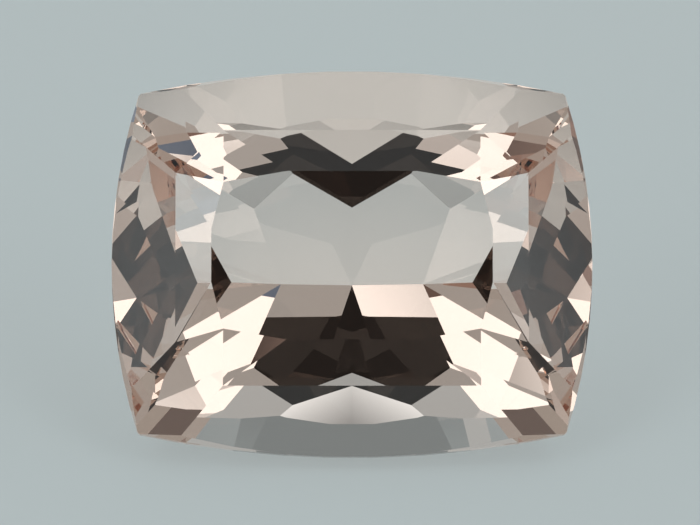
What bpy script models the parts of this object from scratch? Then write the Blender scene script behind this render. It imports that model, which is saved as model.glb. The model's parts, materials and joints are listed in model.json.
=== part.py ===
"""A loose cushion-cut morganite, one clear faceted crystal.

Metres, +Z up. The crystal is cut out of a block, one plane per facet, the way a cutter grinds it.
It lies on the middle facet of its pavilion's second row, so the table looks up and towards -Y.
All dimensions below are millimetres and degrees in the stone's own frame: X along the length,
Y across, Z out of the table, zero in the middle of the girdle.
"""
import math

import bmesh
import bpy
from mathutils import Matrix, Vector

HALF_LENGTH = 7.0
HALF_WIDTH = 5.70
CORNER_X = 6.22
CORNER_Y = 5.02
CORNER_TRIM = 0.03
GIRDLE_HALF = 0.10
FLATS_LONG = 9
FLATS_SHORT = 12

TABLE_HEIGHT = 1.48
RING_HEIGHT = 1.08
TABLE_CORNER = (3.73, 2.16)
TABLE_LONG_END = (1.90, 2.48)
TABLE_SHORT_END = (4.08, 0.79)
RING_LONG_END = (3.74, 3.77)
RING_SHORT_END = (5.13, 2.50)
BREAK_ANGLE = 62.3

PAVILION_DEPTH = 6.61
KEEL_END = 3.17
KEEL_ANGLE = 41.5
KEEL_SWING = 9.3
WING_START = 2.10
WING_ANGLE = 40.9
WING_SWING = 21.8
END_ANGLE = 59.0
TIP_MIDDLE_Y = 2.12
TIP_MIDDLE_ANGLE = 49.0
TIP_SIDE = (2.82, 2.10)
TIP_SIDE_SWING = 13.3
TIP_SIDE_ANGLE = 45.1
END_FAN = ((3.5, 59.9, 0.11), (10.8, 60.7, 0.21))
RIM_ANGLE_LONG = 55.4
RIM_ANGLE_SHORT = 77.7


def unit(azimuth, angle, side):
    """Outward normal: azimuth round the stone, angle from the girdle plane, side +1 crown, -1 pavilion."""
    a = math.radians(azimuth)
    t = math.radians(angle)
    return Vector((math.sin(t) * math.cos(a), math.sin(t) * math.sin(a), side * math.cos(t)))


def facet(azimuth, angle, side, point):
    """A facet plane as (normal, distance from the origin), through a point."""
    n = unit(azimuth, angle, side)
    return n, n.dot(Vector(point))


def through(a, b, c):
    """The crown facet through three meet points."""
    a, b, c = Vector(a), Vector(b), Vector(c)
    n = (b - a).cross(c - a).normalized()
    if n.z < 0:
        n = -n
    return n, n.dot(a)


def bowed_side(half_chord, bow, middle, count):
    """Points and azimuths along an arc of sagitta bow over a chord, as (along, across, lean)."""
    radius = (half_chord ** 2 + bow ** 2) / (2 * bow)
    points = []
    for i in range(count):
        along = ((i + 0.5) / count * 2 - 1) * half_chord
        across = middle - radius + math.sqrt(radius ** 2 - along ** 2)
        points.append((along, across, math.degrees(math.asin(along / radius))))
    return points


def outline():
    """Girdle flats as (x, y, azimuth) on the +Y side and on the +X side."""
    long_side = []
    for along, across, lean in bowed_side(CORNER_X, HALF_WIDTH - CORNER_Y, HALF_WIDTH, FLATS_LONG):
        long_side.append((along, across, 90 - lean))
    short_side = []
    for along, across, lean in bowed_side(CORNER_Y, HALF_LENGTH - CORNER_X, HALF_LENGTH, FLATS_SHORT):
        short_side.append((across, along, lean))
    return long_side, short_side


def reach(azimuth):
    """How far the outline reaches in a direction."""
    long_side, short_side = outline()
    a = math.radians(azimuth)
    corners = [(CORNER_X, CORNER_Y)]
    for x, y, _ in long_side + short_side:
        corners.append((abs(x), abs(y)))
    return max(x * math.cos(a) + y * math.sin(a) for x, y in corners)


def mirrored(plane):
    """The facet and its mirror images in the stone's two symmetry planes."""
    n, d = plane
    found = []
    for sx in (1, -1):
        for sy in (1, -1):
            m = Vector((n.x * sx, n.y * sy, n.z))
            if all((m - other).length > 1e-6 for other, _ in found):
                found.append((m, d))
    return found


def crown():
    """Table, four upper side facets, three upper facets a corner, lower crown and break facets."""
    def up(p, z):
        return (p[0], p[1], z)

    table_corner = up(TABLE_CORNER, TABLE_HEIGHT)
    table_long = up(TABLE_LONG_END, TABLE_HEIGHT)
    table_short = up(TABLE_SHORT_END, TABLE_HEIGHT)
    ring_long = up(RING_LONG_END, RING_HEIGHT)
    ring_short = up(RING_SHORT_END, RING_HEIGHT)
    girdle_corner = (CORNER_X, CORNER_Y, GIRDLE_HALF)
    planes = [(Vector((0, 0, 1)), TABLE_HEIGHT)]
    planes += mirrored(facet(90, slope(table_long, ring_long), 1, ring_long))
    planes += mirrored(facet(0, slope_x(table_short, ring_short), 1, ring_short))
    planes += mirrored(through(table_long, table_corner, ring_long))
    planes += mirrored(through(table_corner, ring_long, ring_short))
    planes += mirrored(through(table_corner, table_short, ring_short))
    planes += mirrored(through(ring_long, ring_short, girdle_corner))
    planes += mirrored(facet(90, slope(ring_long, (0, HALF_WIDTH, GIRDLE_HALF)), 1, ring_long))
    planes += mirrored(facet(0, slope_x(ring_short, (HALF_LENGTH, 0, GIRDLE_HALF)), 1, ring_short))
    return planes


def slope(high, low):
    """Angle of a facet that falls along Y from one height to another."""
    return math.degrees(math.atan2(high[2] - low[2], low[1] - high[1]))


def slope_x(high, low):
    """Angle of a facet that falls along X from one height to another."""
    return math.degrees(math.atan2(high[2] - low[2], low[0] - high[0]))


def rim():
    """The girdle, and the small facets above and below it that follow its bow."""
    planes = []
    sides = zip(outline(), (RIM_ANGLE_LONG, RIM_ANGLE_SHORT))
    for side, rim_angle in sides:
        for x, y, azimuth in side:
            planes += mirrored(facet(azimuth, 90, 1, (x, y, 0)))
            planes += mirrored(facet(azimuth, BREAK_ANGLE, 1, (x, y, GIRDLE_HALF)))
            planes += mirrored(facet(azimuth, rim_angle, -1, (x, y, -GIRDLE_HALF)))
    planes += mirrored(facet(45, 90, 1, (CORNER_X - CORNER_TRIM, CORNER_Y, 0)))
    return planes


def height(plane, x, y):
    """Height of a facet plane over a place in the plan."""
    n, d = plane
    return (d - n.x * x - n.y * y) / n.z


def from_girdle(azimuth, angle, drop):
    """A pavilion facet that meets the outline at a given depth under the girdle."""
    a = math.radians(azimuth)
    r = reach(azimuth)
    return facet(azimuth, angle, -1, (r * math.cos(a), r * math.sin(a), -GIRDLE_HALF - drop))


def clear_of_girdle(azimuth, angle, point):
    """A pavilion facet through a point, moved out where it would cut the girdle."""
    wanted = facet(azimuth, angle, -1, point)
    limit = from_girdle(azimuth, angle, 0.02)
    return max(wanted, limit, key=lambda plane: plane[1])


def keel_facets():
    """The long facets beside the keel: one that starts in the middle of it, and a wing further out."""
    keel = facet(90 - KEEL_SWING, KEEL_ANGLE, -1, (0, 0, -PAVILION_DEPTH))
    wing = facet(90 - WING_SWING, WING_ANGLE, -1, (WING_START, 0, height(keel, WING_START, 0)))
    return keel, wing


def keel_height(x, y):
    """Height of the keel row over a place in the plan."""
    return max(height(plane, x, y) for plane in keel_facets())


def pavilion():
    """Keel row, row of tips above it, and the end facets with the fan beside them."""
    keel, wing = keel_facets()
    planes = mirrored(keel) + mirrored(wing)
    keel_end = (KEEL_END, 0, keel_height(KEEL_END, 0))
    tip_middle = (0, TIP_MIDDLE_Y, keel_height(0, TIP_MIDDLE_Y))
    tip_side = (*TIP_SIDE, keel_height(*TIP_SIDE))
    planes += mirrored(clear_of_girdle(0, END_ANGLE, keel_end))
    planes += mirrored(clear_of_girdle(90, TIP_MIDDLE_ANGLE, tip_middle))
    planes += mirrored(clear_of_girdle(90 - TIP_SIDE_SWING, TIP_SIDE_ANGLE, tip_side))
    for azimuth, angle, drop in END_FAN:
        planes += mirrored(from_girdle(azimuth, angle, drop))
    return planes


def cut_crystal():
    """Grinds a block down to each plane in turn and closes the cut with a flat facet."""
    bm = bmesh.new()
    bmesh.ops.create_cube(bm, size=40.0)
    for normal, distance in crown() + rim() + pavilion():
        geometry = bm.verts[:] + bm.edges[:] + bm.faces[:]
        cut = bmesh.ops.bisect_plane(bm, geom=geometry, dist=1e-5, plane_co=normal * distance,
                                     plane_no=normal, clear_outer=True)
        edges = [e for e in cut["geom_cut"] if isinstance(e, bmesh.types.BMEdge)]
        open_edges = [e for e in edges if len(e.link_faces) == 1]
        if open_edges:
            bmesh.ops.edgeloop_fill(bm, edges=open_edges)
    bmesh.ops.remove_doubles(bm, verts=bm.verts[:], dist=0.004)
    bmesh.ops.dissolve_degenerate(bm, edges=bm.edges[:], dist=0.002)
    bmesh.ops.recalc_face_normals(bm, faces=bm.faces[:])
    return bm


def resting_turn():
    """Turns the stone about its length so that the middle tip facet on the -Y side lies flat."""
    return Matrix.Rotation(math.radians(TIP_MIDDLE_ANGLE), 4, "X")


def clear_material():
    """Pale peach-pink beryl."""
    mat = bpy.data.materials.new("clear_beryl")
    mat.use_nodes = True
    shader = mat.node_tree.nodes["Principled BSDF"]
    shader.inputs["Base Color"].default_value = (0.95, 0.82, 0.77, 1.0)
    shader.inputs["Roughness"].default_value = 0.0
    shader.inputs["IOR"].default_value = 1.58
    shader.inputs["Transmission Weight"].default_value = 1.0
    return mat


for old in list(bpy.data.objects):
    bpy.data.objects.remove(old)

crystal = cut_crystal()
crystal.transform(resting_turn())
xs = [v.co.x for v in crystal.verts]
ys = [v.co.y for v in crystal.verts]
zs = [v.co.z for v in crystal.verts]
middle = Vector(((min(xs) + max(xs)) / 2, (min(ys) + max(ys)) / 2, min(zs)))
crystal.transform(Matrix.Scale(0.001, 4) @ Matrix.Translation(-middle))
mesh = bpy.data.meshes.new("gemstone")
crystal.to_mesh(mesh)
crystal.free()
mesh.materials.append(clear_material())
gemstone = bpy.data.objects.new("gemstone", mesh)
bpy.context.scene.collection.objects.link(gemstone)
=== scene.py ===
"""Studio dressing of a loose morganite on a pale floor, seen as in the photograph."""

import json
import math

import bpy
from mathutils import Matrix, Vector

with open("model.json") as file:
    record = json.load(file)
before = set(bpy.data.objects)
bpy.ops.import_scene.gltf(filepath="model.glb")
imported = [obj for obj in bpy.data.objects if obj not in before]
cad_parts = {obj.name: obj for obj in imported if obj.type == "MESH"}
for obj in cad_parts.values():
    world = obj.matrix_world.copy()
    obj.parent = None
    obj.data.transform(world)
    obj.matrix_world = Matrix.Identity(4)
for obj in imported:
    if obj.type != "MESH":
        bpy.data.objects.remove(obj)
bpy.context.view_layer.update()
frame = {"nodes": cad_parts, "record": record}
scene = bpy.context.scene

# Directions of the stone, from its table's mount: its right, the picture's up, and out of the
# table. The crown's height leads from the table down to the middle of the girdle.
crown_height = 0.00148
table = [m for m in frame["record"]["mounts"] if m["name"] == "table"][0]
stone_out = Vector(table["axis"]).normalized()
stone_right = Vector((1, 0, 0))
stone_up = stone_out.cross(stone_right)
girdle_centre = Vector(table["pos_m"]) - stone_out * crown_height

# Clear peach-pink beryl. The colour comes from absorption along the path inside the stone,
# so short paths through the table stay grey and long folded ones turn peach.
gem = frame["nodes"]["gemstone"]
beryl = bpy.data.materials.new("clear_beryl")
beryl.use_nodes = True
nodes = beryl.node_tree.nodes
links = beryl.node_tree.links
surface = nodes["Principled BSDF"]
surface.inputs["Base Color"].default_value = (1.0, 1.0, 1.0, 1.0)
surface.inputs["Roughness"].default_value = 0.0
surface.inputs["IOR"].default_value = 1.58
surface.inputs["Transmission Weight"].default_value = 1.0
tint = nodes.new("ShaderNodeVolumeAbsorption")
tint.inputs["Color"].default_value = (0.71, 0.34, 0.12, 1.0)
tint.inputs["Density"].default_value = 43.0
links.new(tint.outputs["Volume"], nodes["Material Output"].inputs["Volume"])
gem.data.materials.clear()
gem.data.materials.append(beryl)
gem.data.shade_flat()


def glowing(name, paint, color, strength):
    """Matt paint that also gives off light of one strength all over."""
    mat = bpy.data.materials.new(name)
    mat.use_nodes = True
    shader = mat.node_tree.nodes["Principled BSDF"]
    shader.inputs["Base Color"].default_value = (*paint, 1.0)
    shader.inputs["Roughness"].default_value = 0.9
    shader.inputs["Specular IOR Level"].default_value = 0.0
    shader.inputs["Emission Color"].default_value = (*color, 1.0)
    shader.inputs["Emission Strength"].default_value = strength
    return mat


def fading_light(name, paint, color, middle, edge, fade_from, round_card=False):
    """Matt paint that glows with one strength in the middle and another at the edge.

    It reads the object's own coordinates, which run from -1 to 1 across a card, and changes
    smoothly from the fraction fade_from of the way out. The way out is the distance from the
    middle on a disc, and the larger of the two coordinates on a square.
    """
    mat = glowing(name, paint, color, middle)
    tree = mat.node_tree
    place = tree.nodes.new("ShaderNodeTexCoord")
    fade = tree.nodes.new("ShaderNodeMapRange")
    fade.interpolation_type = "SMOOTHSTEP"
    fade.inputs["From Min"].default_value = fade_from
    fade.inputs["From Max"].default_value = 1.0
    fade.inputs["To Min"].default_value = middle
    fade.inputs["To Max"].default_value = edge
    if round_card:
        out = tree.nodes.new("ShaderNodeVectorMath")
        out.operation = "LENGTH"
        tree.links.new(place.outputs["Object"], out.inputs[0])
    else:
        size = tree.nodes.new("ShaderNodeVectorMath")
        size.operation = "ABSOLUTE"
        split = tree.nodes.new("ShaderNodeSeparateXYZ")
        out = tree.nodes.new("ShaderNodeMath")
        out.operation = "MAXIMUM"
        tree.links.new(place.outputs["Object"], size.inputs[0])
        tree.links.new(size.outputs["Vector"], split.inputs["Vector"])
        tree.links.new(split.outputs["X"], out.inputs[0])
        tree.links.new(split.outputs["Y"], out.inputs[1])
    tree.links.new(out.outputs["Value"], fade.inputs["Value"])
    tree.links.new(fade.outputs["Result"], tree.nodes["Principled BSDF"].inputs["Emission Strength"])
    return mat


def flat_card(name, material, placement, round_card=False):
    """A square or a disc from -1 to 1 in its own plane, put in place by a matrix."""
    if round_card:
        turns = [2 * math.pi * i / 64 for i in range(64)]
        points = [(math.cos(a), math.sin(a), 0) for a in turns]
    else:
        points = [(-1, -1, 0), (1, -1, 0), (1, 1, 0), (-1, 1, 0)]
    mesh = bpy.data.meshes.new(name)
    mesh.from_pydata(points, [], [tuple(range(len(points)))])
    mesh.materials.append(material)
    obj = bpy.data.objects.new(name, mesh)
    scene.collection.objects.link(obj)
    obj.matrix_world = placement


# Floor: one pale plate that glows a little, as a light table does. A round patch of it under the
# stone glows brighter. It is a painted pool of light, as where a clear stone gathers light; from
# the front the stone hides it.
# Both lie a hair under the stone, so that its resting facet does not share their plane.
paint = (0.303, 0.333, 0.334)
floor_glow = 0.97
floor_level = -0.00003
painted_pool_level = -0.00002
plate = glowing("pale_floor", paint, paint, floor_glow)
# Painted pool of light: the patch glows 1.75 in the middle and fades to the floor's glow at its rim.
painted_pool = fading_light("painted_light_pool", paint, paint, 1.75, floor_glow, 0.30, round_card=True)
flat_card("floor", plate,
          Matrix.Translation((0, 0, floor_level)) @ Matrix.Diagonal((0.45, 0.45, 1, 1)))
flat_card("painted_light_pool", painted_pool,
          Matrix.Translation((0, 0.0025, painted_pool_level)) @ Matrix.Diagonal((0.0073, 0.0056, 1, 1)),
          round_card=True)

# Soft surroundings: an even pale grey, as the inside of a light tent, which the crown mirrors.
world = bpy.data.worlds.new("studio")
world.use_nodes = True
world.node_tree.nodes["Background"].inputs["Color"].default_value = (0.445, 0.496, 0.507, 1.0)
world.node_tree.nodes["Background"].inputs["Strength"].default_value = 1.0
scene.world = world

# Camera, in the stone's own directions: it looks a little from below the table normal. The
# picture's scale, 34.3 pixels to the millimetre, sets the lens, and the aim centres the stone.
tilt = math.radians(10.1)
view_dir = stone_out * math.cos(tilt) - stone_up * math.sin(tilt)
view_up = stone_up * math.cos(tilt) + stone_out * math.sin(tilt)
view_right = stone_right
away = 0.25
picture_width = 700
pixel = 0.001 / 34.3
camera_data = bpy.data.cameras.new("camera")
camera = bpy.data.objects.new("camera", camera_data)
scene.collection.objects.link(camera)
aim = girdle_centre - view_right * (2.0 * pixel) + view_up * (1.5 * pixel)
camera.matrix_world = Matrix.Translation(aim + view_dir * away) @ Matrix(
    (view_right, view_up, view_dir)).transposed().to_4x4()
camera_data.sensor_width = 36.0
camera_data.lens = camera_data.sensor_width * away / (picture_width * pixel)
camera_data.clip_start = 0.001
camera_data.clip_end = 2.0
scene.camera = camera


def toward_stone(off_axis, clock, half_width, half_height, distance, roll=0.0):
    """Placement of a card that faces the stone.

    off_axis is its angle from the camera as the stone sees it, clock the angle round the picture
    from the right, half_width and half_height are half its size, and roll turns it in its own
    plane, all in degrees.
    """
    t, c = math.radians(off_axis), math.radians(clock)
    z = (view_right * math.cos(c) + view_up * math.sin(c)) * math.sin(t) + view_dir * math.cos(t)
    y = (view_up - z * view_up.dot(z)).normalized()
    x = y.cross(z)
    w = distance * math.tan(math.radians(half_width))
    h = distance * math.tan(math.radians(half_height))
    turn = Matrix((x, y, z)).transposed().to_4x4() @ Matrix.Rotation(math.radians(roll), 4, "Z")
    return Matrix.Translation(girdle_centre + z * distance) @ turn @ Matrix.Diagonal((w, h, 1, 1))


# Lens shade: a black disc round the lens. It is what the table, and the facets seen through it,
# turn black with; its edge fades to the brown of the tent's mouth.
black = (0.02, 0.02, 0.02)
lens_dark = fading_light("lens_shade", black, (0.40, 0.32, 0.29), 0.02, 0.7, 0.95, round_card=True)
flat_card("lens_shade", lens_dark, toward_stone(10.4, 92.0, 29.0, 33.0, 0.60), round_card=True)

# Softboxes: a tall cloth box on either side and a narrow bar between them over the lens. They
# fill the white facets, and fade towards their frames.
box_white = (0.90, 0.98, 1.0)
softbox = fading_light("softbox", black, box_white, 1.75, 0.60, 0.80)
bar_light = fading_light("bar_light", black, box_white, 1.00, 0.50, 0.70)
flat_card("softbox_left", softbox, toward_stone(48.6, 170.0, 14.5, 33.0, 0.56, -16.0))
flat_card("softbox_right", softbox, toward_stone(49.6, 24.0, 11.8, 24.0, 0.56, 16.0))
flat_card("bar_light", bar_light, toward_stone(43.0, 95.0, 24.0, 2.8, 0.54))

# Side flags: dark round cards in front of the softboxes, which darken the stone's upper corners.
# The right one is bluish and gives the upper left corner its blue patch.
flag_blue = fading_light("flag_blue", black, (0.22, 0.34, 0.52), 0.45, 0.9, 0.70, round_card=True)
flag_brown = fading_light("flag_brown", black, (0.36, 0.26, 0.22), 0.30, 0.9, 0.70, round_card=True)
flat_card("flag_right", flag_blue, toward_stone(65.0, 32.0, 9.5, 9.5, 0.48), round_card=True)
flat_card("flag_left", flag_brown, toward_stone(65.0, 149.0, 10.5, 10.0, 0.48), round_card=True)

# Lamps behind the stone: a small white one that glows in its lower edge, with a warm and a cool
# one half hidden behind it.
lamp = fading_light("lamp", black, box_white, 6.5, 0.1, 0.0, round_card=True)
lamp_warm = fading_light("lamp_warm", black, (1.0, 0.80, 0.42), 0.8, 0.2, 0.40, round_card=True)
lamp_cool = fading_light("lamp_cool", black, (0.50, 0.74, 1.0), 0.8, 0.2, 0.40, round_card=True)
flat_card("lamp", lamp, toward_stone(108.6, 90.0, 6.2, 2.6, 0.50), round_card=True)
flat_card("lamp_warm", lamp_warm, toward_stone(107.0, 90.0, 7.0, 3.0, 0.52), round_card=True)
flat_card("lamp_cool", lamp_cool, toward_stone(110.2, 90.0, 7.0, 3.0, 0.53), round_card=True)

# Back flags and panel: brown round cards that darken the stone's lower corners, and a grey
# board low behind it that tones the crown's lower edge.
back_dark = fading_light("back_panel", black, (0.20, 0.245, 0.26), 0.95, 1.6, 0.75)
flat_card("flag_back_left", flag_brown, toward_stone(115.0, 125.0, 8.0, 8.0, 0.50), round_card=True)
flat_card("flag_back_right", flag_brown, toward_stone(115.0, 55.0, 9.0, 9.0, 0.50), round_card=True)
flat_card("back_panel", back_dark, toward_stone(134.0, 89.0, 16.0, 8.0, 0.60))

# Light paths long enough for the folded ones inside the stone. The sampling pattern is the one
# that leaves no fine grain in the end facets.
scene.view_settings.view_transform = "Standard"
scene.cycles.max_bounces = 24
scene.cycles.sampling_pattern = "TABULATED_SOBOL"
scene.cycles.glossy_bounces = 20
scene.cycles.transmission_bounces = 20
